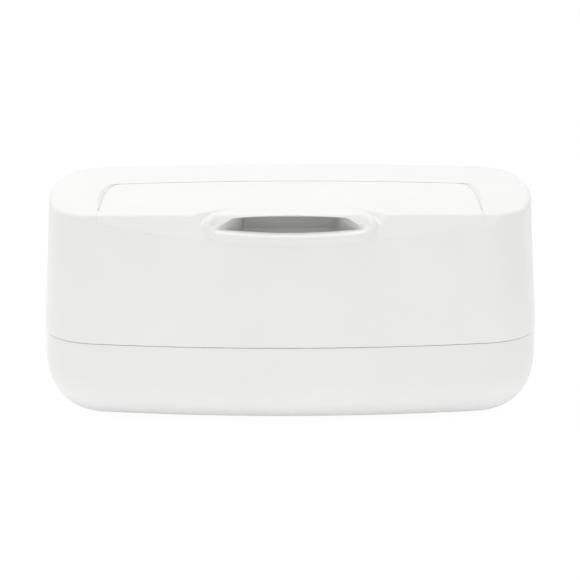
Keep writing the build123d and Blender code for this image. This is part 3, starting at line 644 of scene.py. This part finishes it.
def sculpted_lid(material):
    """The lid's shell with soft blends and rounded edges, in place of the plain solid."""
    verts, faces = lid_mesh()
    mesh = bpy.data.meshes.new("lid_shell_moulded")
    mesh.from_pydata((verts * MM).tolist(), [], faces.tolist())
    mesh.validate()
    mesh.shade_smooth()
    mesh.set_sharp_from_angle(angle=SHARP_ANGLE)
    mesh.materials.append(material)
    made = bpy.data.objects.new("lid_shell_moulded", mesh)
    bpy.context.scene.collection.objects.link(made)
    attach(made, "lid")
    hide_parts("lid_shell")


sculpted_lid(SATIN_PLASTIC)


# Lamps: place, aim and size in metres, power in watts
KEY_LAMP = ((-0.12, 0.0, 1.3), (0, 0, 0.05), (1.2, 1.0), 8.8)
FILL_LAMP = ((-0.1, -1.5, 0.18), (0, 0, 0.04), (2.0, 0.3), 0.56)

# Strength of the even light from all round, on the object
SKY_LEVEL = 0.64

# Floor: half its side in metres, its paint and own glow, and the white that the camera sees, with its share
FLOOR_HALF = 3.0
FLOOR_PAINT = 0.95
FLOOR_ROUGHNESS = 0.9
FLOOR_GLOW = 0.2
FLOOR_WHITE = 1.02
FLOOR_WHITE_SHARE = 0.9

WHITE = (1, 1, 1, 1)


def lamp(name, place, aim, size, power):
    """Rectangular lamp that looks from its place towards its aim."""
    data = bpy.data.lights.new(name, "AREA")
    data.shape = "RECTANGLE"
    data.size = size[0]
    data.size_y = size[1]
    data.energy = power
    made = bpy.data.objects.new(name, data)
    made.location = place
    made.rotation_mode = "QUATERNION"
    made.rotation_quaternion = (Vector(aim) - Vector(place)).to_track_quat("-Z", "Y")
    bpy.context.scene.collection.objects.link(made)


def studio():
    """Two lamps, and a world that is white to the camera and in reflections and softer as light."""
    lamp("key_top", *KEY_LAMP)
    lamp("fill_low", *FILL_LAMP)
    world = bpy.data.worlds.new("studio_white")
    bpy.context.scene.world = world
    world.use_nodes = True
    tree = world.node_tree
    back = tree.nodes["Background"]
    back.inputs["Color"].default_value = WHITE
    path = tree.nodes.new("ShaderNodeLightPath")
    seen = tree.nodes.new("ShaderNodeMath")
    seen.operation = "MAXIMUM"
    tree.links.new(path.outputs["Is Camera Ray"], seen.inputs[0])
    tree.links.new(path.outputs["Is Glossy Ray"], seen.inputs[1])
    level = tree.nodes.new("ShaderNodeMapRange")
    level.inputs["To Min"].default_value = SKY_LEVEL
    level.inputs["To Max"].default_value = 1.0
    tree.links.new(seen.outputs[0], level.inputs["Value"])
    tree.links.new(level.outputs["Result"], back.inputs["Strength"])


def floor():
    """Pale floor that the camera sees as white, but for a little of its shade."""
    corners = ((-1, -1), (1, -1), (1, 1), (-1, 1))
    mesh = bpy.data.meshes.new("floor")
    mesh.from_pydata([(x * FLOOR_HALF, y * FLOOR_HALF, 0) for x, y in corners], [], [(0, 1, 2, 3)])
    made = bpy.data.objects.new("floor", mesh)
    bpy.context.scene.collection.objects.link(made)
    n = Nodes("pale_floor")
    paint = {"Base Color": (FLOOR_PAINT, FLOOR_PAINT, FLOOR_PAINT, 1), "Roughness": FLOOR_ROUGHNESS}
    glow = {"Emission Color": WHITE, "Emission Strength": FLOOR_GLOW}
    mesh.materials.append(n.finish(**paint, **glow))
    white = n.add("ShaderNodeEmission", Color=WHITE, Strength=FLOOR_WHITE)
    path = n.add("ShaderNodeLightPath")
    share = n.add("ShaderNodeMath", operation="MULTIPLY")
    share.inputs[1].default_value = FLOOR_WHITE_SHARE
    n.link(path.outputs["Is Camera Ray"], share.inputs[0])
    mix = n.add("ShaderNodeMixShader")
    n.link(share.outputs[0], mix.inputs[0])
    n.link(n.shader.outputs[0], mix.inputs[1])
    n.link(white.outputs[0], mix.inputs[2])
    n.link(mix.outputs[0], n.tree.nodes["Material Output"].inputs["Surface"])


def camera():
    """The photograph's camera, fitted to its outline, seam and top edges."""
    data = bpy.data.cameras.new("camera")
    data.lens = CAMERA_LENS
    data.sensor_width = CAMERA_SENSOR
    data.clip_end = CAMERA_FAR
    made = bpy.data.objects.new("camera", data)
    made.rotation_mode = "XYZ"
    turn = Matrix.Rotation(math.radians(CAMERA_YAW), 4, "Z")
    turn = turn @ Matrix.Rotation(math.radians(90 - CAMERA_PITCH), 4, "X")
    turn = turn @ Matrix.Rotation(math.radians(CAMERA_ROLL), 4, "Z")
    made.matrix_world = Matrix.Translation(Vector(CAMERA_EYE) * MM) @ turn
    bpy.context.scene.collection.objects.link(made)
    bpy.context.scene.camera = made


studio()
floor()
camera()
bpy.context.scene.view_settings.view_transform = "Standard"
